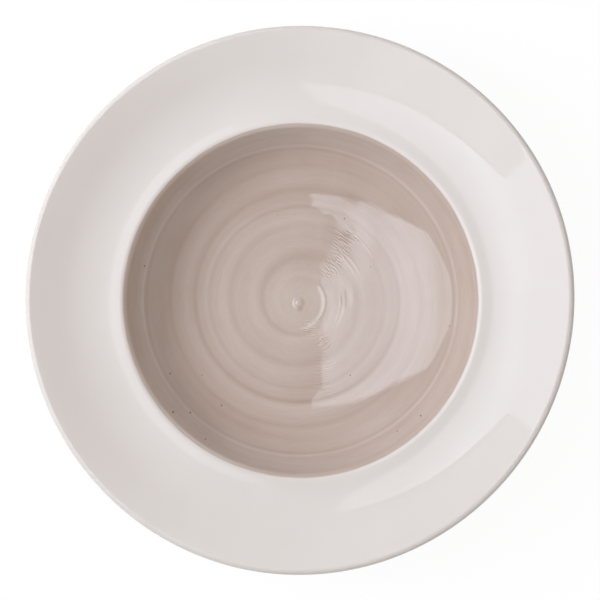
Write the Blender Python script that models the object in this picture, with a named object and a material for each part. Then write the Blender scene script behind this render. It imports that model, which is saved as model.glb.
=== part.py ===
"""Pasta plate, 280 mm across, with a deep well, a broad upswept rim and a foot ring.

A thrown porcelain body carries three fired coats of glaze. The white coat starts at the top of the
well and runs over the rim and the lip and down the back to the foot. The tinted coat lines the well
and follows its spiral of throwing rings. A second white coat covers the recess inside the foot ring.
The ground edge of the foot ring is bare porcelain and stands on z = 0. All pieces turn about Z.
"""

import math

import bmesh
import bpy

MM = 0.001

# Plan sizes, as radii of the glazed plate
PLATE_RADIUS = 140 * MM
WELL_RADIUS = 92.8 * MM
GLAZE_LINE_INSET = 2.4 * MM
LEDGE_WIDTH = 1.5 * MM

# Well, measured on the glaze
WELL_DEPTH = 28 * MM
WALL_ANGLE = math.radians(70)
SHOULDER_RADIUS = 4.5 * MM
COVE_RADIUS = 16 * MM
FLOOR_EDGE_SLOPE = math.radians(14.5)
FLOOR_POWER = 3.1

# Rim and lip
RIM_SLOPE = math.radians(15.2)
RIM_BEND_RADIUS = 102 * MM
RIM_THICKNESS = 4.6 * MM
LIP_TOP_RADIUS = 2.4 * MM
LIP_UNDER_RADIUS = 1.4 * MM

# Back of the well and foot ring
WALL_THICKNESS = 4.8 * MM
BASE_THICKNESS = 5.4 * MM
ARMPIT_RADIUS = 5.4 * MM
RECESS_HEIGHT = 2.2 * MM
FOOT_RADIUS = 56 * MM
FOOT_WIDTH = 5 * MM
FOOT_FLARE = 1 * MM
FOOT_FILLET = 3.5 * MM
FOOT_EDGE_RADIUS = 0.6 * MM
BARE_HEIGHT = 1.6 * MM

# Coats
GLAZE_THICKNESS = 0.6 * MM
GLAZE_SEAT = 0.3 * MM

# Throwing rings
RING_PITCH = 13 * MM
RING_RELIEF = 0.3 * MM
RING_GROOVE_RADIUS = 29.3 * MM
NUB_RADIUS = 3.6 * MM
NUB_HEIGHT = 0.4 * MM
BEAD_INSET = 12.4 * MM
BEAD_WIDTH = 2.4 * MM
BEAD_HEIGHT = 0.25 * MM

# Fineness of the surfaces
SEGMENTS = 44
ARC_SAG = 0.2 * MM
FLOOR_ROWS = 5
ROWS_PER_RING = 4
SHARP_EDGE = math.radians(40)
WELD = 1e-6

# Heights and radii that follow from the sizes above
COAT = GLAZE_THICKNESS + GLAZE_SEAT
CENTRE_Z = RECESS_HEIGHT + BASE_THICKNESS
CROWN_Z = CENTRE_Z + WELL_DEPTH
BROW_RADIUS = WELL_RADIUS - SHOULDER_RADIUS * math.tan(WALL_ANGLE / 2)
GLAZE_LINE = WELL_RADIUS - GLAZE_LINE_INSET
COVE_REACH = COVE_RADIUS * math.tan((WALL_ANGLE - FLOOR_EDGE_SLOPE) / 2)


def floor_edge_radius():
    """Radius at which the dished floor runs into the cove below the wall."""
    wall = math.tan(WALL_ANGLE)
    run = BROW_RADIUS - COVE_REACH * math.cos(FLOOR_EDGE_SLOPE)
    rise = WELL_DEPTH - COVE_REACH * math.sin(FLOOR_EDGE_SLOPE)
    return (wall * run - rise) / (wall - math.tan(FLOOR_EDGE_SLOPE) / FLOOR_POWER)


FLOOR_EDGE = floor_edge_radius()


def floor_z(radius):
    """Height of the well's floor, a dish that steepens towards the cove."""
    lift = FLOOR_EDGE * math.tan(FLOOR_EDGE_SLOPE) / FLOOR_POWER
    return CENTRE_Z + lift * (radius / FLOOR_EDGE) ** FLOOR_POWER


def meeting(point, slope, other, other_slope):
    """Where two sloping lines of the profile cross."""
    first, second = math.tan(slope), math.tan(other_slope)
    radius = (other[1] - point[1] + first * point[0] - second * other[0]) / (first - second)
    return radius, point[1] + first * (radius - point[0])


def heading(start, end):
    return math.atan2(end[1] - start[1], end[0] - start[0])


def arc(corner, start_heading, turn, reach):
    """Points of a fillet that leaves and rejoins the sides of a corner at the given reach."""
    radius = reach / math.tan(turn / 2)
    step = 2 * math.acos(1 - min(ARC_SAG / abs(radius), 0.5))
    steps = max(2, math.ceil(abs(turn) / step))
    start_r = corner[0] - reach * math.cos(start_heading)
    start_z = corner[1] - reach * math.sin(start_heading)
    centre_r = start_r - radius * math.sin(start_heading)
    centre_z = start_z + radius * math.cos(start_heading)
    headings = [start_heading + turn * i / steps for i in range(steps + 1)]
    return [(centre_r + radius * math.sin(h), centre_z - radius * math.cos(h)) for h in headings]


def rounded(corners):
    """Profile through (radius, height, fillet) corners, each fillet as large as its sides allow."""
    count = len(corners)
    turns = [0.0] * count
    reach = [0.0] * count
    for i in range(1, count - 1):
        before = heading(corners[i - 1], corners[i])
        after = heading(corners[i], corners[i + 1])
        turns[i] = math.remainder(after - before, math.tau)
        reach[i] = corners[i][2] * math.tan(abs(turns[i]) / 2)
    for i in range(count - 1):
        crowding = (reach[i] + reach[i + 1]) / math.dist(corners[i][:2], corners[i + 1][:2])
        if crowding > 1:
            reach[i] /= crowding
            reach[i + 1] /= crowding
    profile = []
    for i, corner in enumerate(corners):
        points = [corner[:2]]
        if reach[i] > WELD:
            points = arc(corner, heading(corners[i - 1], corner), turns[i], reach[i])
        profile += [p for p in points if not profile or math.dist(p, profile[-1]) > WELD]
    return profile


def top_corners():
    """The glazed face from the middle of the well to the lip."""
    rows = [FLOOR_EDGE * row / FLOOR_ROWS for row in range(FLOOR_ROWS + 1)]
    floor = [(radius, floor_z(radius), 0) for radius in rows]
    cove_r = FLOOR_EDGE + COVE_REACH * math.cos(FLOOR_EDGE_SLOPE)
    cove_z = floor_z(FLOOR_EDGE) + COVE_REACH * math.sin(FLOOR_EDGE_SLOPE)
    bend_r = WELL_RADIUS + LEDGE_WIDTH + RIM_BEND_RADIUS * math.tan(RIM_SLOPE / 2)
    lip_z = CROWN_Z + (PLATE_RADIUS - bend_r) * math.tan(RIM_SLOPE)
    return floor + [
        (cove_r, cove_z, COVE_RADIUS),
        (BROW_RADIUS, CROWN_Z, SHOULDER_RADIUS),
        (bend_r, CROWN_Z, RIM_BEND_RADIUS),
        (PLATE_RADIUS, lip_z, LIP_TOP_RADIUS),
    ]


def back_corners():
    """The glazed back from the lip to the outside of the foot ring."""
    bend_r, _, _ = top_corners()[-2]
    _, lip_z, _ = top_corners()[-1]
    under_lip_z = lip_z - RIM_THICKNESS / math.cos(RIM_SLOPE)
    under_z = CROWN_Z - RIM_THICKNESS
    armpit_r = (
        BROW_RADIUS + WALL_THICKNESS / math.sin(WALL_ANGLE) - RIM_THICKNESS / math.tan(WALL_ANGLE)
    )
    base_edge = (FLOOR_EDGE, floor_z(FLOOR_EDGE) - BASE_THICKNESS)
    heel = meeting(base_edge, FLOOR_EDGE_SLOPE, (armpit_r, under_z), WALL_ANGLE)
    root_r = FOOT_RADIUS + FOOT_WIDTH / 2 + COAT + FOOT_FLARE
    return [
        (PLATE_RADIUS, under_lip_z, LIP_UNDER_RADIUS),
        (bend_r + RIM_THICKNESS * math.tan(RIM_SLOPE / 2), under_z, RIM_BEND_RADIUS + RIM_THICKNESS),
        (armpit_r, under_z, ARMPIT_RADIUS),
        (*heel, COVE_RADIUS + WALL_THICKNESS),
        (root_r, floor_z(root_r) - BASE_THICKNESS, FOOT_FILLET),
        (root_r - FOOT_FLARE, -COAT, FOOT_EDGE_RADIUS + COAT),
    ]


def recess_corners():
    """The glazed recess from the inside of the foot ring to the axis."""
    ground_r = FOOT_RADIUS - FOOT_WIDTH / 2 - COAT
    root_r = ground_r - FOOT_FLARE
    rows = [root_r * share for share in (2 / 3, 1 / 3, 0)]
    return [
        (ground_r, -COAT, FOOT_EDGE_RADIUS + COAT),
        (root_r, floor_z(root_r) - BASE_THICKNESS, FOOT_FILLET),
        *((radius, floor_z(radius) - BASE_THICKNESS, 0) for radius in rows),
    ]


def plate_profile():
    """Half section of the plate over its glaze, out along the top and back along the underside."""
    return rounded(top_corners() + back_corners() + recess_corners())


def inset(profile, depth):
    """The profile moved into the clay by depth, with any point on the axis kept there."""
    moved = []
    last = len(profile) - 1
    for i, (radius, height) in enumerate(profile):
        before = heading(profile[max(i, 1) - 1], profile[max(i, 1)])
        after = heading(profile[min(i, last - 1)], profile[min(i, last - 1) + 1])
        half_turn = math.remainder(after - before, math.tau) / 2
        reach = depth / math.cos(half_turn)
        side = reach * math.sin(before + half_turn) if radius > WELD else 0
        moved.append((radius + side, height - reach * math.cos(before + half_turn)))
    return moved


def crossings(profile, axis, level):
    """(index, point) wherever the profile passes a radius (axis 0) or a height (axis 1)."""
    found = []
    for i, (start, end) in enumerate(zip(profile, profile[1:])):
        if (start[axis] < level) != (end[axis] < level):
            share = (level - start[axis]) / (end[axis] - start[axis])
            point = tuple(a + share * (b - a) for a, b in zip(start, end))
            found.append((i, point))
    return found


def stretch(profile, start, end):
    """The run of the profile between two crossings."""
    return [start[1], *profile[start[0] + 1 : end[0] + 1], end[1]]


def coat_section(face):
    """Section of a coat with this outer face."""
    return face + inset(face, GLAZE_THICKNESS)[::-1]


def bump(distance, reach):
    """Smooth hump, 1 in the middle and 0 from reach on."""
    return (1 + math.cos(math.pi * min(abs(distance) / reach, 1))) / 2


def ring_relief(radius, angle):
    """Height of the throwing rings: a spiral that opens clockwise, a middle nub and a bead at the wall."""
    phase = (radius - RING_GROOVE_RADIUS) / RING_PITCH + angle / math.tau
    fade_in = 1 - bump(radius, RING_PITCH)
    fade_out = bump(max(radius - FLOOR_EDGE + RING_PITCH, 0), RING_PITCH)
    spiral = -RING_RELIEF / 2 * math.cos(math.tau * phase) * fade_in * fade_out
    nub = NUB_HEIGHT * bump(radius, NUB_RADIUS)
    bead = BEAD_HEIGHT * bump(radius - WELL_RADIUS + BEAD_INSET, BEAD_WIDTH / 2)
    return spiral + nub + bead


def well_rows(face):
    """The well's face with the extra rows that its rings, nub and bead need."""
    step = RING_PITCH / ROWS_PER_RING
    rows = [NUB_RADIUS / 2, NUB_RADIUS]
    rows += [step * row for row in range(2, int(FLOOR_EDGE / step) + 1)]
    floor = [(radius, floor_z(radius)) for radius in rows if radius < FLOOR_EDGE - step / 2]
    rest = [point for point in face if point[0] > FLOOR_EDGE - WELD]
    bead_r = WELL_RADIUS - BEAD_INSET
    for radius in (bead_r - BEAD_WIDTH / 2, bead_r, bead_r + BEAD_WIDTH / 2):
        rest += [point for _, point in crossings(face, 0, radius)]
    return [face[0], *floor, *sorted(rest)]


def material(name, color, roughness):
    made = bpy.data.materials.new(name)
    made.use_nodes = True
    shader = made.node_tree.nodes["Principled BSDF"]
    shader.inputs["Base Color"].default_value = (*color, 1)
    shader.inputs["Roughness"].default_value = roughness
    shader.inputs["Metallic"].default_value = 0
    return made


def white_gloss(name):
    return material(name, (0.82, 0.79, 0.77), 0.12)


def taupe_gloss(name):
    return material(name, (0.55, 0.46, 0.41), 0.15)


def bare_porcelain(name):
    return material(name, (0.74, 0.70, 0.65), 0.75)


def turned(name, section, made_of, relief=None, relief_rows=0):
    """One turned piece, with relief(radius, angle) added to the first rows of its section."""
    mesh = bmesh.new()
    carries_relief = mesh.verts.layers.int.new("carries_relief")
    points = [mesh.verts.new((radius, 0, height)) for radius, height in section]
    for point in points[:relief_rows]:
        point[carries_relief] = 1
    pairs = list(zip(points, points[1:]))
    if section[-1][0] > WELD:
        pairs.append((points[-1], points[0]))
    edges = [mesh.edges.new(pair) for pair in pairs]
    bmesh.ops.spin(
        mesh,
        geom=points + edges,
        cent=(0, 0, 0),
        axis=(0, 0, 1),
        dvec=(0, 0, 0),
        angle=math.tau,
        steps=SEGMENTS,
        use_merge=True,
    )
    bmesh.ops.remove_doubles(mesh, verts=mesh.verts, dist=WELD)
    bmesh.ops.recalc_face_normals(mesh, faces=mesh.faces)
    for vert in mesh.verts:
        if vert[carries_relief]:
            radius = math.hypot(vert.co.x, vert.co.y)
            vert.co.z += relief(radius, math.atan2(vert.co.y, vert.co.x))
    data = bpy.data.meshes.new(name)
    mesh.to_mesh(data)
    mesh.free()
    data.shade_smooth()
    data.set_sharp_from_angle(angle=SHARP_EDGE)
    data.materials.append(made_of)
    made = bpy.data.objects.new(name, data)
    bpy.context.collection.objects.link(made)
    return made


def porcelain_body(profile):
    return turned("porcelain_body", inset(profile, COAT), bare_porcelain("fired_porcelain"))


def white_glaze(profile):
    """White coat over the rim, the lip and the back, down to the bare edge of the foot ring."""
    start = crossings(profile, 0, GLAZE_LINE + GLAZE_SEAT / 2)[0]
    end = crossings(profile, 1, BARE_HEIGHT)[0]
    section = coat_section(stretch(profile, start, end))
    return turned("white_glaze", section, white_gloss("white_glaze"))


def well_glaze(profile):
    """Tinted coat in the well, with the throwing rings raised and sunk in its face."""
    end = crossings(profile, 0, GLAZE_LINE - GLAZE_SEAT / 2)[0]
    face = [*profile[: end[0] + 1], end[1]]
    rows = well_rows(face)
    section = rows + inset(face, GLAZE_THICKNESS)[::-1]
    return turned("well_glaze", section, taupe_gloss("taupe_glaze"), ring_relief, len(rows))


def foot_recess_glaze(profile):
    """White coat inside the foot ring."""
    start = crossings(profile, 1, BARE_HEIGHT)[1]
    face = [start[1], *profile[start[0] + 1 :]]
    return turned("foot_recess_glaze", coat_section(face), white_gloss("recess_glaze"))


def main():
    for existing in list(bpy.data.objects):
        bpy.data.objects.remove(existing)
    profile = plate_profile()
    porcelain_body(profile)
    white_glaze(profile)
    well_glaze(profile)
    foot_recess_glaze(profile)


main()
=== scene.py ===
"""Looks of the pasta plate: finely turned coats of glaze on a porcelain body, seen from straight above.

Each plain solid is stood in for by a surface of the same form with many more facets. The tinted coat
carries the uneven spiral of throwing rings, the white coat the slight wander of a thrown rim, and the
bare foot ring its ground edge. All lengths are in metres and all pieces turn about Z.
"""

import math

import bpy
import numpy as np
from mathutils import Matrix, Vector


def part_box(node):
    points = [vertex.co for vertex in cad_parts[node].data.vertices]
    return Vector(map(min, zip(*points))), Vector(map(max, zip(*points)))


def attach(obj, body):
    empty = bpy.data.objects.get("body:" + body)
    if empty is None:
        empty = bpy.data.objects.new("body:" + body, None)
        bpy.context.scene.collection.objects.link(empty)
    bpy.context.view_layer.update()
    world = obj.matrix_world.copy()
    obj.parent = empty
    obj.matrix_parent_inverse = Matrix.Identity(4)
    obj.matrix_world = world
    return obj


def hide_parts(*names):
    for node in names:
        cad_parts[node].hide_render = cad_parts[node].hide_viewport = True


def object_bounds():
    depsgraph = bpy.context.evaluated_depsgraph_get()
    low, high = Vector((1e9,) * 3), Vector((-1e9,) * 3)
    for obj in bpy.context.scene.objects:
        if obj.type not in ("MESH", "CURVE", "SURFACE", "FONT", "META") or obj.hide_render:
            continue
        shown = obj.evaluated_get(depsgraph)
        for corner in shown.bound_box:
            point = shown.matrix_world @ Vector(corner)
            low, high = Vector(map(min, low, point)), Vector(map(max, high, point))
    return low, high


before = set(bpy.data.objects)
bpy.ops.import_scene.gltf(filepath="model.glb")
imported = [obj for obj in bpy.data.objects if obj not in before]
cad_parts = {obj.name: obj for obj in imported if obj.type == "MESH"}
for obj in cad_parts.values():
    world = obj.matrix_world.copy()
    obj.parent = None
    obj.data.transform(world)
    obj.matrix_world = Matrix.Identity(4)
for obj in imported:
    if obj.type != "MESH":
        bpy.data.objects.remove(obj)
cad_low, cad_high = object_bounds()

MM = 0.001

# Plan sizes, as radii of the glazed plate
PLATE_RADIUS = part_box("white_glaze")[1].x
WELL_RADIUS = 92.8 * MM
GLAZE_LINE_INSET = 2.45 * MM
LEDGE_WIDTH = 1.5 * MM

# Well, measured on the glaze
WELL_DEPTH = 28 * MM
WALL_ANGLE = math.radians(70)
SHOULDER_RADIUS = 4.5 * MM
COVE_RADIUS = 16 * MM
FLOOR_EDGE_SLOPE = math.radians(14.5)
FLOOR_POWER = 3.1

# Rim and lip
RIM_SLOPE = math.radians(15.2)
RIM_BEND_RADIUS = 102 * MM
RIM_THICKNESS = 4.6 * MM
LIP_TOP_RADIUS = 2.4 * MM
LIP_UNDER_RADIUS = 1.4 * MM

# Back of the well and foot ring
WALL_THICKNESS = 4.8 * MM
BASE_THICKNESS = 5.4 * MM
ARMPIT_RADIUS = 5.4 * MM
RECESS_HEIGHT = 2.2 * MM
FOOT_RADIUS = 56 * MM
FOOT_WIDTH = 5 * MM
FOOT_FLARE = 1 * MM
FOOT_FILLET = 3.5 * MM
FOOT_EDGE_RADIUS = 0.6 * MM
BARE_HEIGHT = 1.6 * MM

# Coats, here fused to the clay but for a hair that keeps the faces apart
GLAZE_THICKNESS = 0.6 * MM
GLAZE_SEAT = 0.04 * MM

# Throwing rings: radius of the spiral's groove at each half turn, from the nub outwards
GROOVE_RADII = np.array((4, 9, 14.5, 18.4, 29.3, 35.9, 43.8, 46.6, 50.6, 53.6, 62.9, 66.8, 73.3)) * MM
GROOVE_DEPTH = np.array((0, 0.1, 0.3, 0.8, 0.5, 0.5, 0.4, 0.3, 0.7, 1, 0.2, 0.5, 0.2))
GROOVE_FIRST_TURN = -2
RING_PITCH = 13 * MM
RING_RELIEF = 0.035 * MM
RING_RELIEF_RADII = np.array((0, 30, 50, 58, 74)) * MM
RING_RELIEFS = np.array((0, 1, 0.6, 0.3, 0.25))
RING_LEAN = 0.8
RING_LEAN_TOWARD = math.radians(60)
RING_SMOOTHING = 3 * MM
RING_SMOOTHING_SHARE = 1 / 4
RIDGE_PHASE = 0.3

# Nub that the thrower's finger left, off the axis, the share of the floor whose rings drift towards it,
# and the painted shadow below it, a patch of deeper tint: (x, y, radius) in millimetres, and amount
NUB_CENTRE = np.array((-0.9, -1.0)) * MM
NUB_TOP_RADIUS = 0.4 * MM
NUB_RADIUS = 3.7 * MM
NUB_HEIGHT = 0.5 * MM
NUB_DRIFT = 0.6
NUB_PAINTED_SHADOW = (-0.4, -4.3, 2.6, 0.3)

# Curls of the last strokes about the nub: (radius, rise, fall, height) in millimetres and (from, to) in
# degrees. The tint is thinner on them
CURLS = (
    (2.0, 0.5, 0.5, -0.20, 95, 265),
    (13.3, 2.0, 1.0, 0.07, -70, 40),
    (13.9, 1.6, 0.7, 0.10, -88, -50),
    (21.2, 1.5, 0.7, 0.035, -34, 10),
    (22.9, 1.0, 2.2, 0.05, -34, 14),
    (31.6, 1.2, 0.6, 0.05, 26, 56),
    (33.9, 1.2, 0.6, 0.06, 28, 54),
    (43.8, 1.2, 0.7, 0.10, 36, 54),
)
CURL_ENDS = math.radians(12)
CURL_THIN = 2 / MM
CURL_THINNEST = 0.15

# Where the last strokes left the glaze brushed in fine rows, which drift by some radians of their wave:
# (x, y, radius) in millimetres, and amount
BRUSHED_ALL_OVER = 0.06
# Strength of the painted glints: lighter and darker dashes in the tint along the brushed rows
BRUSH_PAINTED_GLINTS = 0.5
BRUSH_ROW = 1.3 * MM
BRUSH_ROW_DRIFT = 3.0
BRUSH_RELIEF = 0.03 * MM
BRUSHED = (
    (23, 33, 10, 1.0),
    (20, 24, 9, 0.9),
    (16, 16, 8, 1.0),
    (5, -14, 7, 0.8),
    (12, -21, 6, 0.8),
    (12, -33, 9, 0.4),
    (11, -44, 9, 0.4),
)

# Shallow hollows that the hand left in the floor: (x, y, reach in x, reach in y, depth) in millimetres
HOLLOWS = (
    (10, 6, 18, 38, 0.7),
    (24, 29, 15, 26, 0.55),
    (16, 43, 13, 10, 0.12),
    (21, -58, 40, 20, 0.12),
    (11, -39, 9, 15, 0.16),
    (24, 2, 4, 8, 0.14),
    (16, 56, 32, 17, 0.22),
    (4, -54, 10, 14, 0.14),
)

# Turned line at the foot of the wall, a little out of round, pale with a dark inner side
BEAD_INSET = 12.4 * MM
BEAD_OVAL = 0.35 * MM
BEAD_CENTRE = np.array((-0.4, 0.0)) * MM
BEAD_WIDTH = 1.6 * MM
BEAD_HEIGHT = 0.10 * MM
BEAD_THIN = 0.22
BEAD_SHADE = 0.12

# Depth of the tint: even but for the grooves, where it pools, the ridges and the wall, where it runs
# thinner, and for painted shade leaning deeper towards the right and painted light leaning less deep
# towards the left
GROOVE_POOL = 0.22
GROOVE_POOL_WIDTH = 0.13
RIDGE_THIN = 0.12
RIDGE_THIN_WIDTH = 0.16
TINT_RADII = np.array((0, 10, 21, 31, 42, 51, 57, 62, 70, 76, 82, 86, 89, 91)) * MM
TINT_DEPTHS = np.array((0.86, 0.88, 0.97, 1.01, 1.04, 1.13, 1.1, 1.11, 1.11, 1.07, 0.93, 0.79, 0.95, 1.05))
TINT_PAINTED_LIGHT_LEANS = np.array((0, 0, 0, 0.03, 0.1, 0.12, 0.04, 0.03, -0.03, 0.1, 0.23, 0.22, 0.18, 0.18))
TINT_PAINTED_SHADE_TOWARD = math.radians(0)

# Patches where the tint is made deeper or less deep: (radius, reach) in millimetres, (angle, reach) in
# degrees and amount
TINT_PATCHES = (
    (72, 11, 242, 42, 0.22),
    (90, 10, 228, 45, -0.34),
    (89, 9, 104, 45, -0.29),
    (75, 9, 92, 45, 0.19),
    (58, 6, 282, 40, -0.17),
    (75, 7, 304, 28, -0.12),
    (41, 11, 92, 45, -0.11),
    (53, 8, 325, 40, 0.11),
    (66, 9, 33, 18, 0.16),
    (39, 11, 41, 24, 0.18),
    (18, 7, 10, 60, 0.22),
    (59, 9, 53, 25, 0.15),
    (64, 9, 325, 25, 0.12),
    (80, 6, 256, 22, 0.12),
    (15, 5, -62, 30, -0.12),
    (14.8, 3.5, 33, 22, 0.15),
    (80, 5, 285, 45, 0.12),
    (81, 5, 78, 28, 0.14),
)

# Iron specks in the tinted glaze: (x, y, radius) in millimetres from the middle of the plate
SPECKS = (
    (23, 42, 0.42),
    (-80, 17.5, 0.42),
    (-67, -38, 0.45),
    (-65, -57.5, 0.50),
    (-56.5, -58, 0.45),
    (-40.5, -54.5, 0.42),
    (-48.5, -71.5, 0.36),
    (62, -59.5, 0.42),
    (26, -39, 0.38),
    (77, -13.5, 0.36),
    (36.5, 17, 0.26),
    (50, -67.5, 0.30),
    (-50.5, -39, 0.26),
    (-11.5, 44, 0.24),
)

# Flat ledge round the well that turns crisply up into the rim: change of slope at each radius
TURN_RADII = np.array((94.3, 96.7, 97.0, 98.2, 101.3, 103, 110.5, 113, 118)) * MM
TURN_SLOPES = np.radians((0, -0.9, -0.3, 0.85, 1.3, 1.2, 0.3, -0.2, 0))

# Wander of the thrown rim in waves of (count, phase, share), of the well within it and of the lip's crest
WELL_SHIFT = (0.38 * MM, -0.40 * MM)
WELL_OVAL = 0.18 * MM
WELL_SHIFT_REACH = 30 * MM
RIM_WANDER = 0.12 * MM
RIM_WAVES = ((2, -0.6, 1.0), (3, 1.1, 0.5))
LIP_OUT_OF_ROUND = 0.28 * MM
LIP_CREST_INSET = 2.8 * MM
LIP_CREST_SHIFT = 0.45 * MM
LIP_CREST_TOWARD = math.radians(150)

# Thinning of the white glaze and painted shade on it, as shares of clay colour that shows through: painted
# shade towards a side, on the rim's left and on the ledge's left; at the lip the glaze thins, with painted
# shade on its left
# Painted shade: the white glaze darker towards one side
SIDE_PAINTED_SHADE = 0.07
SIDE_PAINTED_SHADE_TOWARD = math.radians(295)
# Painted shade on the rim's left, growing out from the crown
RIM_PAINTED_SHADE = 0.26
RIM_PAINTED_SHADE_TOWARD = math.radians(155)
RIM_PAINTED_SHADE_REACH = 30 * MM
# Glaze thinning all round the lip, with painted shade leaning towards its left
THIN_LIP = 0.27
LIP_PAINTED_SHADE_LEAN = 0.29
LIP_PAINTED_SHADE_TOWARD = math.radians(200)
LIP_THIN_AND_SHADE_WIDTH = 4 * MM
# Painted shade on the ledge's left
LEDGE_PAINTED_SHADE = 0.1
LEDGE_PAINTED_SHADE_TOWARD = math.radians(195)
LEDGE_PAINTED_SHADE_WIDTH = 4 * MM

# Fineness of the surfaces
SEGMENTS = 256
ROW_STEP = 0.8 * MM
FLOOR_STEP = 0.4 * MM
ARC_STEP = math.radians(4)
ARC_LEAST_STEPS = 3
RECESS_CLEAR_ROWS = 3
TURN_SAMPLES = 400
RING_SAMPLES = 7
BACKING_STEP = 4
HIDDEN_STEP = 2
WELD = 1e-7

# Heights and radii that follow from the sizes above
COAT = GLAZE_THICKNESS + GLAZE_SEAT
CENTRE_Z = RECESS_HEIGHT + BASE_THICKNESS
CROWN_Z = CENTRE_Z + WELL_DEPTH
BROW_RADIUS = WELL_RADIUS - SHOULDER_RADIUS * math.tan(WALL_ANGLE / 2)
GLAZE_LINE = WELL_RADIUS - GLAZE_LINE_INSET
COVE_REACH = COVE_RADIUS * math.tan((WALL_ANGLE - FLOOR_EDGE_SLOPE) / 2)
CROWN_END = WELL_RADIUS + LEDGE_WIDTH

# Studio, seen from the plate: the overhead panel's corners in degrees from straight up, (x, y)
CAMERA_HEIGHT = 2.4
SENSOR_WIDTH = 36
PHOTO_SIZE = 600
PLATE_PIXELS = 549.6
PLATE_CENTRE_PIXEL = (300.0, 299.85)
PANEL_HEIGHT = 2.4
PANEL_CORNERS = ((0, -13.5), (-2.2, 13), (-53, 12.5), (-53, -12.5))
PANEL_RADIANCE = 2.4
PANEL_HOT_ANGLE = math.radians(-14.5)
PANEL_HOT_REACH = 0.5
PANEL_HOT = 1.75
PANEL_COLOR = (0.92, 1.0, 1.1)
FILL_DISTANCE = 1.6
FILL_AROUND = math.radians(170)
FILL_UP = math.radians(36)
FILL_SIZE = 0.55
FILL_POWER = 14
FILL_COLOR = (0.97, 1.0, 1.06)
HORIZON_RADIANCE = 1.0
HORIZON_RISE = (0.06, 0.16)
SKY_LEFT = (0.47, 0.47, 0.445)
SKY_RIGHT = (0.335, 0.257, 0.20)
FLOOR_SIZE = 60
FLOOR_GAP = 0.05 * MM
FLOOR_ALBEDO = 0.8
FLOOR_GLOW = 0.955
FLOOR_SHADE = 0.05

# Glazes and clay
WHITE = (0.834, 0.791, 0.766)
# Browner white of glaze thinned at the lip, also the colour of the painted shade on the white glaze
THIN_AND_SHADED_WHITE = (0.50, 0.45, 0.40)
TAUPE = (0.572, 0.467, 0.414)
PORCELAIN = (0.74, 0.70, 0.65)
IRON = (0.09, 0.06, 0.045)
GLAZE_IOR = 1.58
TINT_START = GLAZE_LINE - 0.02 * MM
TINT_END = GLAZE_LINE + 0.86 * MM
TINT_EDGE_UNEVEN = 0.08 * MM
GLOSS_SPREAD = (0.8, 1.3)
SPECK_EDGE = (0.3, 1.3)
WHITE_TONES = (0.985, 1.012)
WHITE_GRAIN = 0.5
WHITE_ROUGHNESS = 0.02
WHITE_SPECULAR = 0.235
WHITE_DIMPLE = 0.05 * MM
WHITE_DIMPLE_STRENGTH = 0.15
TAUPE_ROUGHNESS = 0.014
STREAK_TINT = 0.025
FINE_STREAK_TINT = 0.03
CLOUD_TINT = 0.03
PORCELAIN_TONES = (0.92, 1.05)
PORCELAIN_ROUGHNESS = 0.78
PORCELAIN_GRAIN = 0.05 * MM
PORCELAIN_GRAIN_STRENGTH = 0.5
GRINDING_TONE = 0.8
GRINDING_SHARE = 0.35

# Fineness of the textures: noise per metre, and (per turn, per metre out) for streaks round the axis
EDGE_NOISE = 90
GLOSS_NOISE = 60
WHITE_CLOUD_NOISE = 22
WHITE_GRAIN_NOISE = 1400
DIMPLE_NOISE = 160
TAUPE_CLOUD_NOISE = 45
PORCELAIN_NOISE = 900
STREAKS = (1.6, 420)
FINE_STREAKS = (7, 1500)
BRUSH_DRIFT = (3, 90)
BRUSH_DASHES = (9, 450)
GRINDING = (3, 2600)

# Span of a noise's values that a texture uses
NOISE_SPAN = (0.3, 0.7)
WHITE_CLOUD_SPAN = (0.35, 0.65)
FINE_STREAK_SPAN = (0.25, 0.75)
BRUSH_DASH_SPAN = (0.36, 0.64)
GRINDING_SPAN = (0.45, 0.75)


def floor_edge_radius():
    """Radius at which the dished floor runs into the cove below the wall."""
    wall = math.tan(WALL_ANGLE)
    run = BROW_RADIUS - COVE_REACH * math.cos(FLOOR_EDGE_SLOPE)
    rise = WELL_DEPTH - COVE_REACH * math.sin(FLOOR_EDGE_SLOPE)
    return (wall * run - rise) / (wall - math.tan(FLOOR_EDGE_SLOPE) / FLOOR_POWER)


FLOOR_EDGE = floor_edge_radius()


def floor_z(radius):
    """Height of the well's floor, a dish that steepens towards the cove."""
    lift = FLOOR_EDGE * math.tan(FLOOR_EDGE_SLOPE) / FLOOR_POWER
    return CENTRE_Z + lift * (radius / FLOOR_EDGE) ** FLOOR_POWER


def meeting(point, slope, other, other_slope):
    """Where two sloping lines of the profile cross."""
    first, second = math.tan(slope), math.tan(other_slope)
    radius = (other[1] - point[1] + first * point[0] - second * other[0]) / (first - second)
    return radius, point[1] + first * (radius - point[0])


def heading(start, end):
    """Direction of a side of the profile, in radians."""
    return math.atan2(end[1] - start[1], end[0] - start[0])


def arc(corner, start_heading, turn, reach):
    """Points of a fillet that leaves and rejoins the sides of a corner at the given reach."""
    radius = reach / math.tan(turn / 2)
    steps = max(ARC_LEAST_STEPS, math.ceil(abs(turn) / min(ARC_STEP, ROW_STEP / abs(radius))))
    start_r = corner[0] - reach * math.cos(start_heading)
    start_z = corner[1] - reach * math.sin(start_heading)
    centre_r = start_r - radius * math.sin(start_heading)
    centre_z = start_z + radius * math.cos(start_heading)
    headings = [start_heading + turn * i / steps for i in range(steps + 1)]
    return [(centre_r + radius * math.sin(h), centre_z - radius * math.cos(h)) for h in headings]


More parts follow.
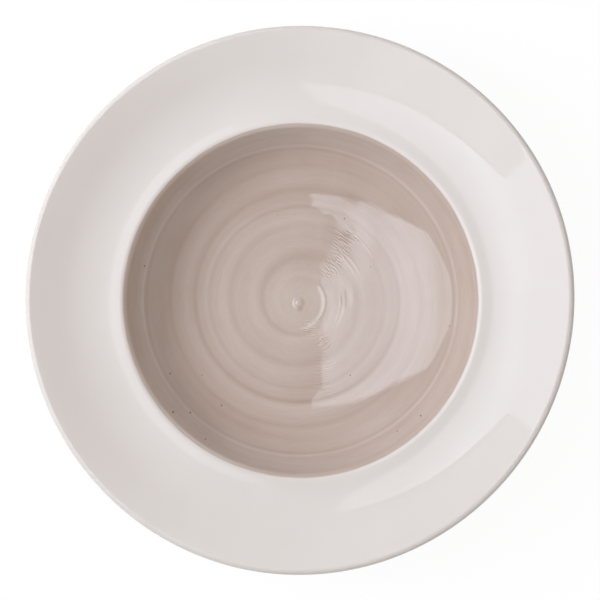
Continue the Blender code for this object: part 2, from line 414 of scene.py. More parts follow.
def rounded(corners):
    """Profile through (radius, height, fillet) corners, each fillet as large as its sides allow."""
    count = len(corners)
    turns = [0.0] * count
    reach = [0.0] * count
    for i in range(1, count - 1):
        before = heading(corners[i - 1], corners[i])
        after = heading(corners[i], corners[i + 1])
        turns[i] = math.remainder(after - before, math.tau)
        reach[i] = corners[i][2] * math.tan(abs(turns[i]) / 2)
    for i in range(count - 1):
        crowding = (reach[i] + reach[i + 1]) / math.dist(corners[i][:2], corners[i + 1][:2])
        if crowding > 1:
            reach[i] /= crowding
            reach[i + 1] /= crowding
    profile = []
    for i, corner in enumerate(corners):
        points = [corner[:2]]
        if reach[i] > WELD:
            points = arc(corner, heading(corners[i - 1], corner), turns[i], reach[i])
        profile += [p for p in points if not profile or math.dist(p, profile[-1]) > WELD]
    return profile


def top_corners():
    """The glazed face from the middle of the well to the lip."""
    count = math.ceil(FLOOR_EDGE / FLOOR_STEP)
    rows = [FLOOR_EDGE * row / count for row in range(count + 1)]
    floor = [(radius, floor_z(radius), 0) for radius in rows]
    cove_r = FLOOR_EDGE + COVE_REACH * math.cos(FLOOR_EDGE_SLOPE)
    cove_z = floor_z(FLOOR_EDGE) + COVE_REACH * math.sin(FLOOR_EDGE_SLOPE)
    bend_r = WELL_RADIUS + LEDGE_WIDTH + RIM_BEND_RADIUS * math.tan(RIM_SLOPE / 2)
    lip_z = CROWN_Z + (PLATE_RADIUS - bend_r) * math.tan(RIM_SLOPE)
    return floor + [
        (cove_r, cove_z, COVE_RADIUS),
        (BROW_RADIUS, CROWN_Z, SHOULDER_RADIUS),
        (bend_r, CROWN_Z, RIM_BEND_RADIUS),
        (PLATE_RADIUS, lip_z, LIP_TOP_RADIUS),
    ]


def back_corners():
    """The glazed back from the lip to the outside of the foot ring."""
    bend_r, _, _ = top_corners()[-2]
    _, lip_z, _ = top_corners()[-1]
    under_lip_z = lip_z - RIM_THICKNESS / math.cos(RIM_SLOPE)
    under_z = CROWN_Z - RIM_THICKNESS
    armpit_r = (
        BROW_RADIUS + WALL_THICKNESS / math.sin(WALL_ANGLE) - RIM_THICKNESS / math.tan(WALL_ANGLE)
    )
    base_edge = (FLOOR_EDGE, floor_z(FLOOR_EDGE) - BASE_THICKNESS)
    heel = meeting(base_edge, FLOOR_EDGE_SLOPE, (armpit_r, under_z), WALL_ANGLE)
    root_r = FOOT_RADIUS + FOOT_WIDTH / 2 + COAT + FOOT_FLARE
    return [
        (PLATE_RADIUS, under_lip_z, LIP_UNDER_RADIUS),
        (bend_r + RIM_THICKNESS * math.tan(RIM_SLOPE / 2), under_z, RIM_BEND_RADIUS + RIM_THICKNESS),
        (armpit_r, under_z, ARMPIT_RADIUS),
        (*heel, COVE_RADIUS + WALL_THICKNESS),
        (root_r, floor_z(root_r) - BASE_THICKNESS, FOOT_FILLET),
        (root_r - FOOT_FLARE, -COAT, FOOT_EDGE_RADIUS + COAT),
    ]


def recess_corners():
    """The glazed recess from the inside of the foot ring to the axis."""
    ground_r = FOOT_RADIUS - FOOT_WIDTH / 2 - COAT
    root_r = ground_r - FOOT_FLARE
    count = math.ceil(root_r / (2 * ROW_STEP))
    rows = [root_r * (1 - row / count) for row in range(RECESS_CLEAR_ROWS, count + 1)]
    return [
        (ground_r, -COAT, FOOT_EDGE_RADIUS + COAT),
        (root_r, floor_z(root_r) - BASE_THICKNESS, FOOT_FILLET),
        *((radius, floor_z(radius) - BASE_THICKNESS, 0) for radius in rows),
    ]


def subdivided(profile, step):
    """The profile with its long straight runs divided."""
    fine = [profile[0]]
    for start, end in zip(profile, profile[1:]):
        count = max(1, math.ceil(math.dist(start, end) / step))
        for part in range(1, count + 1):
            fine.append(tuple(a + (b - a) * part / count for a, b in zip(start, end)))
    return fine


def plate_profile():
    """Half section of the plate over its glaze, out along the top and back along the underside."""
    return subdivided(rounded(top_corners() + back_corners() + recess_corners()), 2 * ROW_STEP)


def inset(profile, depth):
    """The profile moved into the clay by depth, with any point on the axis kept there."""
    moved = []
    last = len(profile) - 1
    for i, (radius, height) in enumerate(profile):
        before = heading(profile[max(i, 1) - 1], profile[max(i, 1)])
        after = heading(profile[min(i, last - 1)], profile[min(i, last - 1) + 1])
        half_turn = math.remainder(after - before, math.tau) / 2
        reach = depth / math.cos(half_turn)
        side = reach * math.sin(before + half_turn) if radius > WELD else 0
        moved.append((radius + side, height - reach * math.cos(before + half_turn)))
    return moved


def crossings(profile, axis, level):
    """(index, point) wherever the profile passes a radius (axis 0) or a height (axis 1)."""
    found = []
    for i, (start, end) in enumerate(zip(profile, profile[1:])):
        if (start[axis] < level) != (end[axis] < level):
            share = (level - start[axis]) / (end[axis] - start[axis])
            point = tuple(a + share * (b - a) for a, b in zip(start, end))
            found.append((i, point))
    return found


def backing(face):
    """Hidden inner face of a coat, with fewer rows than its outer face."""
    inner = inset(face, GLAZE_THICKNESS)
    kept = inner[:-1:BACKING_STEP] + inner[-1:]
    return kept[::-1]


def bump(distance, reach):
    """Smooth hump, 1 in the middle and 0 from reach on."""
    return (1 + np.cos(np.pi * np.minimum(np.abs(distance) / reach, 1))) / 2


def groove_turns(radius):
    """How many turns the spiral groove has made by this radius."""
    turns = GROOVE_FIRST_TURN + np.arange(len(GROOVE_RADII)) / 2
    spread = np.linspace(-1, 1, RING_SAMPLES)
    reach = np.minimum(radius * RING_SMOOTHING_SHARE, RING_SMOOTHING)
    return np.mean([np.interp(radius + s * reach, GROOVE_RADII, turns) for s in spread], axis=0)


def about_nub(x, y):
    """(radius, angle) about a centre that lies on the nub in the middle and on the axis further out."""
    drift = bump(np.hypot(x, y), NUB_DRIFT * FLOOR_EDGE)
    x = x - NUB_CENTRE[0] * drift
    y = y - NUB_CENTRE[1] * drift
    return np.hypot(x, y), np.arctan2(y, x)


def ring_phase(radius, angle):
    """(phase, depth): turns past the last groove, and how deep the groove is there."""
    depth = np.interp(radius, GROOVE_RADII, GROOVE_DEPTH)
    return (groove_turns(radius) + angle / math.tau) % 1, depth


def rings(radius, angle):
    """Height of the throwing rings, more marked on one side."""
    phase, depth = ring_phase(radius, angle)
    lean = 1 + RING_LEAN * np.cos(angle - RING_LEAN_TOWARD)
    relief = RING_RELIEF * np.interp(radius, RING_RELIEF_RADII, RING_RELIEFS)
    return relief / 2 * depth * lean * np.cos(math.tau * (phase - RIDGE_PHASE))


def nub(radius):
    """Height of the flat-topped nub in the middle."""
    return NUB_HEIGHT * bump(np.maximum(radius - NUB_TOP_RADIUS, 0), NUB_RADIUS - NUB_TOP_RADIUS)


def curl(radius, angle, stroke):
    """Height of one curl: a low ridge along part of a circle."""
    peak, rise, fall, height, start, end = stroke
    middle = math.radians((start + end) / 2)
    along = np.abs((angle - middle + math.pi) % math.tau - math.pi)
    ends = np.clip((math.radians((end - start) / 2) - along) / CURL_ENDS + 0.5, 0, 1)
    away = radius - peak * MM
    return height * MM * ends * bump(away, np.where(away < 0, rise, fall) * MM)


def well_relief(x, y):
    """Height of the throwing rings, the nub, the curls and the line below the wall."""
    radius, angle = about_nub(x, y)
    height = rings(radius, angle) + nub(radius) + BEAD_HEIGHT * bead_at(x, y)
    for stroke in CURLS:
        height += curl(radius, angle, stroke)
    return height


def hollowed(x, y):
    """Depth of the shallow hollows in the floor."""
    depth = 0
    for hollow_x, hollow_y, reach_x, reach_y, deepest in HOLLOWS:
        away = np.hypot((x / MM - hollow_x) / reach_x, (y / MM - hollow_y) / reach_y)
        depth = depth + deepest * MM * bump(away, 1)
    return depth


def bead_at(x, y, offset=0):
    """1 on the turned line at the foot of the wall, or at an offset out from it, and 0 elsewhere."""
    x, y = x - BEAD_CENTRE[0], y - BEAD_CENTRE[1]
    line = WELL_RADIUS - BEAD_INSET + BEAD_OVAL * np.cos(2 * np.arctan2(y, x))
    return bump(np.hypot(x, y) - line - offset, BEAD_WIDTH / 2)


def brushed(x, y):
    """How far the glaze is brushed, from 0 to 1."""
    share = BRUSHED_ALL_OVER
    for zone_x, zone_y, reach, amount in BRUSHED:
        share = share + amount * bump(np.hypot(x - zone_x * MM, y - zone_y * MM), reach * MM)
    return np.minimum(share, 1)


def pooled_and_nub_shadow(x, y):
    """How much deeper the tint is in the grooves, with painted shadow below the nub, and thinner on the
    ridges and curls.
    """
    radius, angle = about_nub(x, y)
    phase, depth = ring_phase(radius, angle)
    groove = np.exp(-((np.minimum(phase, 1 - phase) / GROOVE_POOL_WIDTH) ** 2))
    ridge = np.exp(-(((phase - RIDGE_PHASE) / RIDGE_THIN_WIDTH) ** 2))
    fade_out = bump(np.maximum(radius - FLOOR_EDGE + RING_PITCH / 2, 0), RING_PITCH)
    deeper = depth * fade_out * (GROOVE_POOL * groove - RIDGE_THIN * ridge)
    # Painted shadow: deeper tint below the nub
    shadow_x, shadow_y, reach, amount = NUB_PAINTED_SHADOW
    deeper += amount * bump(np.hypot(x - shadow_x * MM, y - shadow_y * MM), reach * MM)
    raised = sum(curl(radius, angle, stroke) for stroke in CURLS)
    return deeper - np.clip(CURL_THIN * raised, -CURL_THINNEST, CURL_THINNEST)


def patched(radius, angle):
    """How much deeper or less deep the tint is made in the patches."""
    deeper = 0
    for patch_radius, reach, patch_angle, reach_angle, amount in TINT_PATCHES:
        turn = (np.degrees(angle) - patch_angle + 180) % 360 - 180
        deeper = deeper + amount * bump(radius - patch_radius * MM, reach * MM) * bump(turn, reach_angle)
    return deeper


def well_tint(x, y):
    """Depth of the tint, with painted shade deeper towards the right and painted light less deep towards
    the left, and uneven.
    """
    radius, angle = np.hypot(x, y), np.arctan2(y, x)
    # Painted shade deeper towards the right, painted light less deep towards the left
    lean = np.interp(radius, TINT_RADII, TINT_PAINTED_LIGHT_LEANS) * np.cos(angle - TINT_PAINTED_SHADE_TOWARD)
    line = BEAD_SHADE * bead_at(x, y, -BEAD_WIDTH) - BEAD_THIN * bead_at(x, y)
    even = np.interp(radius, TINT_RADII, TINT_DEPTHS)
    return even + lean + pooled_and_nub_shadow(x, y) + patched(radius, angle) + line


def turned(name, section, closed):
    """A piece turned from a half section, as (object, rows of vertex indices)."""
    angles = np.arange(SEGMENTS) * math.tau / SEGMENTS
    points = []
    rows = []
    for radius, height in section:
        start = len(points)
        if radius < WELD:
            points.append((0, 0, height))
            rows.append([start] * SEGMENTS)
        else:
            points += [(radius * math.cos(a), radius * math.sin(a), height) for a in angles]
            rows.append(list(range(start, start + SEGMENTS)))
    pairs = list(zip(rows, rows[1:]))
    if closed:
        pairs.append((rows[-1], rows[0]))
    faces = []
    for inner, outer in pairs:
        for j in range(SEGMENTS):
            k = (j + 1) % SEGMENTS
            ring = (inner[j], outer[j], outer[k], inner[k])
            faces.append(tuple(dict.fromkeys(ring)))
    data = bpy.data.meshes.new(name)
    data.from_pydata(points, [], faces)
    data.shade_smooth()
    made = bpy.data.objects.new(name, data)
    bpy.context.collection.objects.link(made)
    return made, rows


def corners_of(made):
    """The object's vertices as an array that can be changed and put back."""
    points = np.empty(len(made.data.vertices) * 3)
    made.data.vertices.foreach_get("co", points)
    return points.reshape(-1, 3)


def put_corners(made, points):
    """Puts a changed array of vertices back into the object."""
    made.data.vertices.foreach_set("co", points.ravel())
    made.data.update()


def store(made, name, values):
    """Keeps one number for each vertex, for the materials to read."""
    layer = made.data.attributes.new(name, "FLOAT", "POINT")
    layer.data.foreach_set("value", np.asarray(values, dtype=np.float32))


def well_surface(profile):
    """Tinted coat in the well."""
    end = crossings(profile, 0, GLAZE_LINE)[0]
    face = [*profile[: end[0] + 1], end[1]]
    made, rows = turned("well_glaze_surface", face + backing(face), closed=False)
    points = corners_of(made)
    x, y = points[:, 0], points[:, 1]
    top = np.unique(rows[: len(face)])
    points[top, 2] += well_relief(x, y)[top]
    points[:, 2] -= hollowed(x, y)
    put_corners(made, points)
    store(made, "tint", well_tint(x, y))
    store(made, "brushed", brushed(x, y))
    wander(made)
    return made


def rim_wander(points):
    """Slow rise and fall of the thrown rim, growing from the crown out to the lip."""
    angle = np.arctan2(points[:, 1], points[:, 0])
    radius = np.hypot(points[:, 0], points[:, 1])
    share = np.clip((radius - WELL_RADIUS - LEDGE_WIDTH) / (PLATE_RADIUS - WELL_RADIUS), 0, 1)
    waves = sum(part * np.cos(count * angle + phase) for count, phase, part in RIM_WAVES)
    return RIM_WANDER * share**2 * waves


def wander(made):
    """Moves a piece as the thrower's hands did: the rim up and down, the well off the middle."""
    points = corners_of(made)
    angle = np.arctan2(points[:, 1], points[:, 0])
    radius = np.hypot(points[:, 0], points[:, 1])
    store(made, "turned_radius", radius)
    share = bump(np.maximum(radius - WELL_RADIUS, 0), WELL_SHIFT_REACH)
    outer = np.clip((radius - WELL_RADIUS) / (PLATE_RADIUS - WELL_RADIUS), 0, 1) ** 2
    out = share * WELL_OVAL * np.cos(2 * angle) * np.minimum(radius / WELL_RADIUS, 1)
    out += outer * LIP_OUT_OF_ROUND * (np.sin(2 * angle) + np.sin(3 * angle))
    crest = bump(radius - PLATE_RADIUS + LIP_CREST_INSET, LIP_CREST_INSET)
    slide = LIP_CREST_SHIFT * crest * np.cos(angle - LIP_CREST_TOWARD)
    out += slide
    points[:, 2] += rim_wander(points) + slide * math.tan(RIM_SLOPE)
    points[:, 0] += share * WELL_SHIFT[0] + out * np.cos(angle)
    points[:, 1] += share * WELL_SHIFT[1] + out * np.sin(angle)
    put_corners(made, points)


def rim_turn(radius):
    """Height that the crisp turn at the ledge adds to the rim."""
    fine = np.linspace(TURN_RADII[0], TURN_RADII[-1], TURN_SAMPLES)
    slope = np.interp(fine, TURN_RADII, TURN_SLOPES)
    height = np.concatenate(([0], np.cumsum((slope[1:] + slope[:-1]) / 2 * np.diff(fine))))
    return np.interp(radius, fine, height)


def thinned_and_shaded(radius, angle):
    """How far the clay shows through the white glaze where it thins at the lip, with painted shade in the
    same browner colour towards one side and on the left of the rim, the ledge and the lip, from 0 to 1.
    """
    # Painted shade, darker towards one side of the plate
    side = SIDE_PAINTED_SHADE * (1 + np.cos(angle - SIDE_PAINTED_SHADE_TOWARD))
    # Painted shade on the rim's left, growing out from the crown
    out = np.clip((radius - CROWN_END) / RIM_PAINTED_SHADE_REACH, 0, 1)
    rim = RIM_PAINTED_SHADE * out * np.clip(np.cos(angle - RIM_PAINTED_SHADE_TOWARD), 0, 1)
    # The lip's glaze thins all round, and the lean adds painted shade towards its left
    broken = THIN_LIP + LIP_PAINTED_SHADE_LEAN * np.cos(angle - LIP_PAINTED_SHADE_TOWARD)
    lip = broken * bump(np.minimum(radius - PLATE_RADIUS, 0), LIP_THIN_AND_SHADE_WIDTH)
    # Painted shade on the ledge's left
    ledge = LEDGE_PAINTED_SHADE * bump(radius - CROWN_END, LEDGE_PAINTED_SHADE_WIDTH)
    ledge = ledge * np.clip(np.cos(angle - LEDGE_PAINTED_SHADE_TOWARD), 0, 1)
    return np.clip(np.maximum(side + rim + ledge, lip), 0, 1)


def white_surface(profile):
    """White coat over the rim, the lip and the back, down to the bare edge of the foot ring."""
    start = crossings(profile, 0, GLAZE_LINE)[0]
    end = crossings(profile, 1, BARE_HEIGHT)[0]
    face = [start[1], *profile[start[0] + 1 : end[0] + 1], end[1]]
    made, rows = turned("white_glaze_surface", face + backing(face), closed=True)
    points = corners_of(made)
    lip = int(np.argmax([radius for radius, _ in face]))
    radius = np.hypot(points[:, 0], points[:, 1])
    top = np.unique(rows[: lip + 1])
    points[top, 2] += rim_turn(radius)[top]
    put_corners(made, points)
    # Share of the browner white: glaze thinned at the lip, and painted shade
    store(made, "thin_glaze_and_painted_shade", thinned_and_shaded(radius, np.arctan2(points[:, 1], points[:, 0])))
    upper = np.zeros(len(points))
    upper[top] = 1
    store(made, "upper", upper)
    wander(made)
    return made


def recess_surface(profile):
    """White coat inside the foot ring."""
    start = crossings(profile, 1, BARE_HEIGHT)[1]
    face = [start[1], *profile[start[0] + 1 :]]
    made, _ = turned("foot_recess_glaze_surface", backing(face) + face, closed=False)
    wander(made)
    return made


def body_surface(profile):
    """Fired clay under the coats, bare on the foot ring."""
    clay = inset(profile, COAT)
    last = len(clay) - 1
    bare = [height < BARE_HEIGHT + FOOT_EDGE_RADIUS for _, height in profile]
    kept = [i for i in range(last + 1) if i % HIDDEN_STEP == 0 or bare[i] or i == last]
    made, rows = turned("porcelain_body_surface", [clay[i] for i in kept], closed=False)
    points = corners_of(made)
    well_end = crossings(profile, 0, GLAZE_LINE)[0][0]
    well = np.unique([row for i, row in zip(kept, rows) if i < well_end])
    points[well, 2] -= hollowed(points[well, 0], points[well, 1])
    put_corners(made, points)
    wander(made)
    return made


def node(tree, kind, inputs=(), **settings):
    """A shader node with its settings made and its inputs set or linked."""
    made = tree.nodes.new(kind)
    for name, value in settings.items():
        setattr(made, name, value)
    for key, value in dict(inputs).items():
        if isinstance(value, bpy.types.NodeSocket):
            tree.links.new(value, made.inputs[key])
        else:
            made.inputs[key].default_value = value
    return made


def math_node(tree, operation, *values):
    """The result of one operation on numbers or sockets."""
    inputs = dict(enumerate(values))
    return node(tree, "ShaderNodeMath", inputs, operation=operation).outputs[0]


def map_range(tree, value, low, high, to_low=0.0, to_high=1.0, smooth=True):
    """A value moved from one span to another, eased at the ends unless smooth is off."""
    inputs = {"Value": value, "From Min": low, "From Max": high, "To Min": to_low, "To Max": to_high}
    kind = "SMOOTHSTEP" if smooth else "LINEAR"
    return node(tree, "ShaderNodeMapRange", inputs, interpolation_type=kind).outputs["Result"]


def mix_color(tree, share, first, second):
    """The first colour with a share of the second in it."""
    made = node(tree, "ShaderNodeMix", data_type="RGBA")
    sockets = {s.identifier: s for s in made.inputs}
    for key, value in (("Factor_Float", share), ("A_Color", first), ("B_Color", second)):
        if isinstance(value, bpy.types.NodeSocket):
            tree.links.new(value, sockets[key])
        else:
            sockets[key].default_value = value
    return next(s for s in made.outputs if s.identifier == "Result_Color")


def noise(tree, vector, scale, detail=2.0, roughness=0.5):
    """Soft noise between 0 and 1."""
    inputs = {"Vector": vector, "Scale": scale, "Detail": detail, "Roughness": roughness}
    return node(tree, "ShaderNodeTexNoise", inputs).outputs["Fac"]


def stretched(tree, value, to_low=0.0, to_high=1.0):
    """A noise whose usual span of values is stretched to the given one."""
    return map_range(tree, value, *NOISE_SPAN, to_low, to_high)


def color(rgb, factor=1.0):
    """A colour made lighter or darker by a factor, opaque."""
    return (*(channel * factor for channel in rgb), 1)


def new_material(name):
    """(material, tree, shader, place, place on the ground, radius before the clay wandered)"""
    made = bpy.data.materials.new(name)
    made.use_nodes = True
    tree = made.node_tree
    shader = tree.nodes["Principled BSDF"]
    place = node(tree, "ShaderNodeTexCoord").outputs["Object"]
    flat = node(tree, "ShaderNodeVectorMath", {0: place, 1: (1, 1, 0)}, operation="MULTIPLY").outputs[0]
    radius = node(tree, "ShaderNodeAttribute", attribute_name="turned_radius").outputs["Fac"]
    return made, tree, shader, place, flat, radius


def polar(tree, flat, radius, around, outward):
    """Coordinates for streaks that run round the axis: around per turn, outward per metre."""
    unit = node(tree, "ShaderNodeVectorMath", {0: flat}, operation="NORMALIZE").outputs[0]
    turn = node(tree, "ShaderNodeVectorMath", {0: unit, "Scale": around}, operation="SCALE").outputs[0]
    split = node(tree, "ShaderNodeSeparateXYZ", {0: turn})
    out = math_node(tree, "MULTIPLY", radius, outward)
    joined = node(tree, "ShaderNodeCombineXYZ", {0: split.outputs[0], 1: split.outputs[1], 2: out})
    return joined.outputs[0]


def taupe_share(tree, radius, place):
    """How much of the tinted glaze shows, fading out over the shoulder with a slightly uneven edge."""
    blot = noise(tree, place, EDGE_NOISE)
    uneven = stretched(tree, blot, -TINT_EDGE_UNEVEN, TINT_EDGE_UNEVEN)
    edge = math_node(tree, "ADD", radius, uneven)
    return map_range(tree, edge, TINT_START, TINT_END, 1.0, 0.0)


def white_color(tree, place):
    """Warm white glaze, a little clouded, browner where it thins at the lip and browner again as painted
    shade towards one side and on the left of the rim, the ledge and the lip.
    """
    cloud = map_range(tree, noise(tree, place, WHITE_CLOUD_NOISE, 3), *WHITE_CLOUD_SPAN)
    grain = stretched(tree, noise(tree, place, WHITE_GRAIN_NOISE, 1))
    darker, lighter = (color(WHITE, factor) for factor in WHITE_TONES)
    tone = mix_color(tree, cloud, darker, lighter)
    tone = mix_color(tree, math_node(tree, "MULTIPLY", grain, WHITE_GRAIN), tone, color(WHITE))
    # The browner share is glaze thinned at the lip and painted shade
    thin_glaze_and_painted_shade = node(tree, "ShaderNodeAttribute", attribute_name="thin_glaze_and_painted_shade").outputs["Fac"]
    return mix_color(tree, thin_glaze_and_painted_shade, tone, color(THIN_AND_SHADED_WHITE))


def glaze_finish(tree, shader, place, roughness):
    """Gloss that varies a little over the glaze."""
    blot = noise(tree, place, GLOSS_NOISE)
    glossier, duller = (roughness * factor for factor in GLOSS_SPREAD)
    patch = stretched(tree, blot, glossier, duller)
    tree.links.new(patch, shader.inputs["Roughness"])
    shader.inputs["IOR"].default_value = GLAZE_IOR


def white_material(name):
    """White glaze with faint dimples, tinted where the well's coat fades out over its upper edge."""
    made, tree, shader, place, _, radius = new_material(name)
    white = white_color(tree, place)
    upper = node(tree, "ShaderNodeAttribute", attribute_name="upper").outputs["Fac"]
    tint = math_node(tree, "MULTIPLY", upper, taupe_share(tree, radius, place))
    shown = mix_color(tree, tint, white, color(TAUPE))
    tree.links.new(shown, shader.inputs["Base Color"])
    glaze_finish(tree, shader, place, WHITE_ROUGHNESS)
    shader.inputs["Specular IOR Level"].default_value = WHITE_SPECULAR
    dimple = noise(tree, place, DIMPLE_NOISE, 2)
    inputs = {"Height": dimple, "Strength": WHITE_DIMPLE_STRENGTH, "Distance": WHITE_DIMPLE}
    relief = node(tree, "ShaderNodeBump", inputs)
    tree.links.new(relief.outputs[0], shader.inputs["Normal"])
    return made


def speck_share(tree, flat):
    """1 in the iron specks and 0 elsewhere."""
    share = None
    inner, outer = SPECK_EDGE
    for x, y, size in SPECKS:
        inputs = {0: flat, 1: (x * MM, y * MM, 0)}
        away = node(tree, "ShaderNodeVectorMath", inputs, operation="DISTANCE").outputs["Value"]
        spot = map_range(tree, away, inner * size * MM, outer * size * MM, 1.0, 0.0)
        share = spot if share is None else math_node(tree, "MAXIMUM", share, spot)
    return share


def brush_strokes(tree, flat, radius):
    """Rows of short strokes round the axis, from -1 to 1."""
    wave = noise(tree, polar(tree, flat, radius, *BRUSH_DRIFT), 1.0)
    drift = stretched(tree, wave, -BRUSH_ROW_DRIFT, BRUSH_ROW_DRIFT)
    turns = math_node(tree, "MULTIPLY_ADD", radius, math.tau / BRUSH_ROW, drift)
    row = math_node(tree, "SINE", turns)
    broken = noise(tree, polar(tree, flat, radius, *BRUSH_DASHES), 1.0, 1)
    dash = map_range(tree, broken, *BRUSH_DASH_SPAN, -1, 1)
    return math_node(tree, "MULTIPLY", row, dash)


def taupe_material(name):
    """Tinted glaze, darker where it is deep, with streaks round the axis, brushed rows that ripple the
    surface and carry painted glints, and iron specks.
    """
    made, tree, shader, place, flat, radius = new_material(name)
    depth = node(tree, "ShaderNodeAttribute", attribute_name="tint").outputs["Fac"]
    brush = node(tree, "ShaderNodeAttribute", attribute_name="brushed").outputs["Fac"]
    streak = noise(tree, polar(tree, flat, radius, *STREAKS), 1.0, 4, 0.6)
    fine = noise(tree, polar(tree, flat, radius, *FINE_STREAKS), 1.0, 3, 0.6)
    cloud = noise(tree, place, TAUPE_CLOUD_NOISE, 3)
    streak = stretched(tree, streak, -STREAK_TINT, STREAK_TINT)
    fine = map_range(tree, fine, *FINE_STREAK_SPAN, -FINE_STREAK_TINT, FINE_STREAK_TINT)
    cloud = stretched(tree, cloud, -CLOUD_TINT, CLOUD_TINT)
    for uneven in (streak, fine, cloud):
        depth = math_node(tree, "ADD", depth, uneven)
    stroke = brush_strokes(tree, flat, radius)
    # Painted glints: lighter and darker dashes of tint along the brushed rows, standing in for the
    # reflection flicking on and off
    painted_glints = math_node(tree, "MULTIPLY", stroke, BRUSH_PAINTED_GLINTS)
    depth = math_node(tree, "ADD", depth, math_node(tree, "MULTIPLY", painted_glints, brush))
    toned = node(tree, "ShaderNodeGamma", {"Color": color(TAUPE), "Gamma": depth}).outputs[0]
    toned = mix_color(tree, speck_share(tree, flat), toned, color(IRON))
    tint = taupe_share(tree, radius, place)
    white = white_color(tree, place)
    shown = mix_color(tree, tint, white, toned)
    tree.links.new(shown, shader.inputs["Base Color"])
    glaze_finish(tree, shader, place, TAUPE_ROUGHNESS)
    ripple = math_node(tree, "MULTIPLY", stroke, brush)
    relief = node(tree, "ShaderNodeBump", {"Height": ripple, "Strength": 1.0, "Distance": BRUSH_RELIEF})
    tree.links.new(relief.outputs[0], shader.inputs["Normal"])
    return made


def porcelain_material(name):
    """Bare fired clay with a fine grain and the marks of grinding."""
    made, tree, shader, place, flat, radius = new_material(name)
    grain = noise(tree, place, PORCELAIN_NOISE, 4, 0.65)
    ground = noise(tree, polar(tree, flat, radius, *GRINDING), 1.0, 2)
    darker, lighter = (color(PORCELAIN, factor) for factor in PORCELAIN_TONES)
    tone = mix_color(tree, stretched(tree, grain), darker, lighter)
    marks = map_range(tree, ground, *GRINDING_SPAN, 0, GRINDING_SHARE)
    shown = mix_color(tree, marks, tone, color(PORCELAIN, GRINDING_TONE))
    tree.links.new(shown, shader.inputs["Base Color"])
    shader.inputs["Roughness"].default_value = PORCELAIN_ROUGHNESS
    inputs = {"Height": grain, "Strength": PORCELAIN_GRAIN_STRENGTH, "Distance": PORCELAIN_GRAIN}
    relief = node(tree, "ShaderNodeBump", inputs)
    tree.links.new(relief.outputs[0], shader.inputs["Normal"])
    return made


def stand_in(piece, made_of, replaced):
    """Dresses a piece and puts it in the place of its plain solid."""
    piece.data.materials.append(made_of)
    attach(piece, "root")
    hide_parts(replaced)


def make_plate():
    """The clay and its three coats, all turned from one half section."""
    profile = plate_profile()
    stand_in(body_surface(profile), porcelain_material("bare_porcelain"), "porcelain_body")
    stand_in(white_surface(profile), white_material("white_glaze"), "white_glaze")
    stand_in(well_surface(profile), taupe_material("taupe_glaze"), "well_glaze")
    stand_in(recess_surface(profile), white_material("recess_glaze"), "foot_recess_glaze")


def shown_rays(tree):
    """1 for rays from the camera and from mirrors and glass, which see the backdrop as it looks."""
    path = node(tree, "ShaderNodeLightPath").outputs
    seen = math_node(tree, "MAXIMUM", path["Is Camera Ray"], path["Is Glossy Ray"])
    return math_node(tree, "MAXIMUM", seen, path["Is Transmission Ray"])


def floor_material():
    """Pale floor that shows white, with the plate's shadow kept on it."""
    made = bpy.data.materials.new("pale_floor")
    made.use_nodes = True
    tree = made.node_tree
    tree.nodes.clear()
    lit = node(tree, "ShaderNodeBsdfDiffuse", {"Color": color((FLOOR_ALBEDO,) * 3)})
    shade = node(tree, "ShaderNodeBsdfDiffuse", {"Color": color((FLOOR_SHADE,) * 3)})
    glow = node(tree, "ShaderNodeEmission", {"Strength": FLOOR_GLOW})
    shown = node(tree, "ShaderNodeAddShader", {0: shade.outputs[0], 1: glow.outputs[0]})
    inputs = {0: shown_rays(tree), 1: lit.outputs[0], 2: shown.outputs[0]}
    mixed = node(tree, "ShaderNodeMixShader", inputs)
    node(tree, "ShaderNodeOutputMaterial", {"Surface": mixed.outputs[0]})
    return made


def make_floor():
    """Wide floor just under the foot ring."""
    half = FLOOR_SIZE / 2
    data = bpy.data.meshes.new("floor")
    corners = [(-half, -half, 0), (half, -half, 0), (half, half, 0), (-half, half, 0)]
    data.from_pydata(corners, [], [(0, 1, 2, 3)])
    data.materials.append(floor_material())
    floor = bpy.data.objects.new("floor", data)
    floor.location.z = cad_low.z - FLOOR_GAP
    bpy.context.collection.objects.link(floor)


def make_sky():
    """Soft light from all round, dimmer and warmer from the right, with white walls at the horizon."""
    world = bpy.data.worlds.new("studio")
    bpy.context.scene.world = world
    world.use_nodes = True
    tree = world.node_tree
    tree.nodes.clear()
    toward = node(tree, "ShaderNodeTexCoord").outputs["Generated"]
    across, _, rise = node(tree, "ShaderNodeSeparateXYZ", {0: toward}).outputs
    above = map_range(tree, rise, *HORIZON_RISE)
    side = map_range(tree, across, -1, 1, smooth=False)
    tone = mix_color(tree, side, color(SKY_LEFT), color(SKY_RIGHT))
    light = node(tree, "ShaderNodeBackground", {"Color": tone})
    white = node(tree, "ShaderNodeBackground", {"Color": color((1, 1, 1)), "Strength": HORIZON_RADIANCE})
    mixed = node(tree, "ShaderNodeMixShader", {0: above, 1: white.outputs[0], 2: light.outputs[0]})
    node(tree, "ShaderNodeOutputWorld", {"Surface": mixed.outputs[0]})


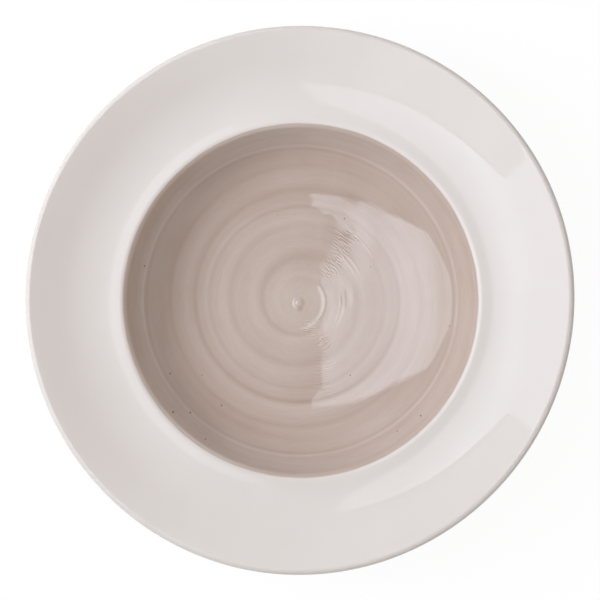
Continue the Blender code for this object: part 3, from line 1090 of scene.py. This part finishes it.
def make_panel():
    """One large light panel overhead on the left, its near edge almost above the plate's middle."""
    made_of = bpy.data.materials.new("light_panel")
    made_of.use_nodes = True
    tree = made_of.node_tree
    tree.nodes.clear()
    place = node(tree, "ShaderNodeTexCoord").outputs["Object"]
    across = node(tree, "ShaderNodeSeparateXYZ", {0: place}).outputs[0]
    hot_x = PANEL_HEIGHT * math.tan(PANEL_HOT_ANGLE)
    away = math_node(tree, "ABSOLUTE", math_node(tree, "SUBTRACT", across, hot_x))
    strength = map_range(tree, away, 0, PANEL_HOT_REACH, PANEL_RADIANCE * PANEL_HOT, PANEL_RADIANCE)
    glow = node(tree, "ShaderNodeEmission", {"Color": color(PANEL_COLOR), "Strength": strength})
    node(tree, "ShaderNodeOutputMaterial", {"Surface": glow.outputs[0]})
    corners = PANEL_HEIGHT * np.tan(np.radians(PANEL_CORNERS))
    data = bpy.data.meshes.new("light_panel")
    data.from_pydata([(x, y, 0) for x, y in corners.tolist()], [], [(3, 2, 1, 0)])
    data.materials.append(made_of)
    panel = bpy.data.objects.new("light_panel", data)
    panel.location.z = CROWN_Z + PANEL_HEIGHT
    panel.visible_camera = False
    bpy.context.collection.objects.link(panel)


def make_fill():
    """A smaller soft lamp low on the left, which the wall keeps off the near side of the floor."""
    lamp = bpy.data.lights.new("fill", "AREA")
    lamp.size = FILL_SIZE
    lamp.energy = FILL_POWER
    lamp.color = FILL_COLOR
    made = bpy.data.objects.new("fill", lamp)
    level = FILL_DISTANCE * math.cos(FILL_UP)
    made.location = (
        level * math.cos(FILL_AROUND),
        level * math.sin(FILL_AROUND),
        CROWN_Z + FILL_DISTANCE * math.sin(FILL_UP),
    )
    made.rotation_euler = (0, math.pi / 2 - FILL_UP, FILL_AROUND)
    made.visible_camera = False
    made.visible_glossy = False
    bpy.context.collection.objects.link(made)


def make_camera():
    """Camera straight above the plate, framed as the photograph is."""
    data = bpy.data.cameras.new("camera")
    data.sensor_width = SENSOR_WIDTH
    frame_width = 2 * PLATE_RADIUS * PHOTO_SIZE / PLATE_PIXELS
    data.lens = SENSOR_WIDTH * CAMERA_HEIGHT / frame_width
    made = bpy.data.objects.new("camera", data)
    per_pixel = frame_width / PHOTO_SIZE
    off_x = (PHOTO_SIZE / 2 - PLATE_CENTRE_PIXEL[0]) * per_pixel
    off_y = (PLATE_CENTRE_PIXEL[1] - PHOTO_SIZE / 2) * per_pixel
    made.location = (off_x, off_y, cad_high.z + CAMERA_HEIGHT)
    bpy.context.collection.objects.link(made)
    bpy.context.scene.camera = made


make_plate()
make_floor()
make_sky()
make_panel()
make_fill()
make_camera()
bpy.context.scene.view_settings.view_transform = "Standard"
